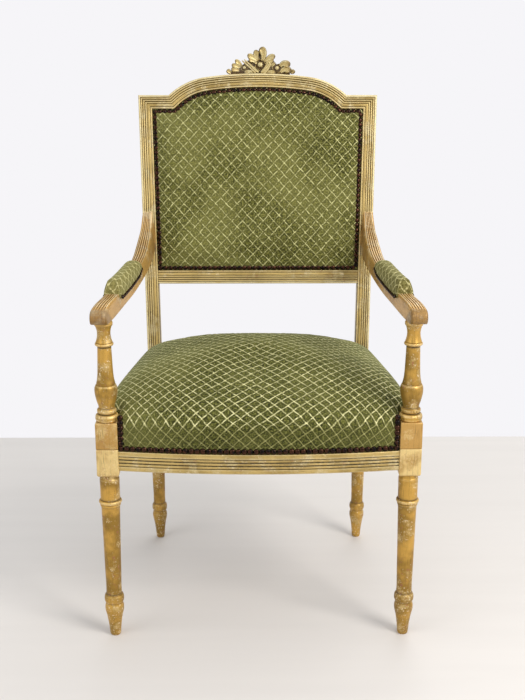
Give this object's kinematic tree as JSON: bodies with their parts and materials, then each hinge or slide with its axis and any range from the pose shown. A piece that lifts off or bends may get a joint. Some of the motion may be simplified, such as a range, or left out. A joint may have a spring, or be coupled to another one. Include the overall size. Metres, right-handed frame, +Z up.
{
  "type": "upholstered armchair",
  "caption": "Open armchair with turned legs, padded scrolled arms, raked arched back frame and bowed seat, carved and gilded, covered in lattice velvet with nail trim.",
  "frame": {"origin": "centre of the footprint at floor level", "axes": "+Z up; the front of the chair faces -Y; +X to the viewer's right in front of it"},
  "size_m": [0.5742, 0.5512, 1.049],
  "materials": {
    "gilded_wood": "worn water gilding over gesso, satin",
    "bare_beech": "unfinished, sawn",
    "lattice_velvet": "cut velvet with a raised diamond lattice",
    "outside_cloth": "plain woven cloth",
    "horsehair": "curled hair stuffing under wadding",
    "jute_webbing": "twill-woven jute straps",
    "hessian": "open plain-woven jute",
    "bronze_nails": "antiqued dome heads"
  },
  "bodies": {
    "root": {"arm_left": "gilded_wood", "arm_pad_cover_left": "lattice_velvet", "arm_pad_cover_right": "lattice_velvet", "arm_pad_stuffing_left": "horsehair", "arm_pad_stuffing_right": "horsehair", "arm_post_left": "gilded_wood", "arm_post_right": "gilded_wood", "arm_right": "gilded_wood", "back_cover": "lattice_velvet", "back_hessian": "hessian", "back_outside_cover": "outside_cloth", "back_stuffing": "horsehair", "back_webbing": "jute_webbing", "corner_block_front_left": "bare_beech", "corner_block_front_right": "bare_beech", "corner_block_rear_left": "bare_beech", "corner_block_rear_right": "bare_beech", "crest_carving": "gilded_wood", "crest_rail": "gilded_wood", "front_leg_left": "gilded_wood", "front_leg_right": "gilded_wood", "front_seat_rail": "gilded_wood", "lower_back_rail": "gilded_wood", "rear_post_left": "gilded_wood", "rear_post_right": "gilded_wood", "rear_seat_rail": "gilded_wood", "seat_cover": "lattice_velvet", "seat_hessian": "hessian", "seat_stuffing": "horsehair", "seat_webbing": "jute_webbing", "side_seat_rail_left": "gilded_wood", "side_seat_rail_right": "gilded_wood"}
  },
  "joints": []
}
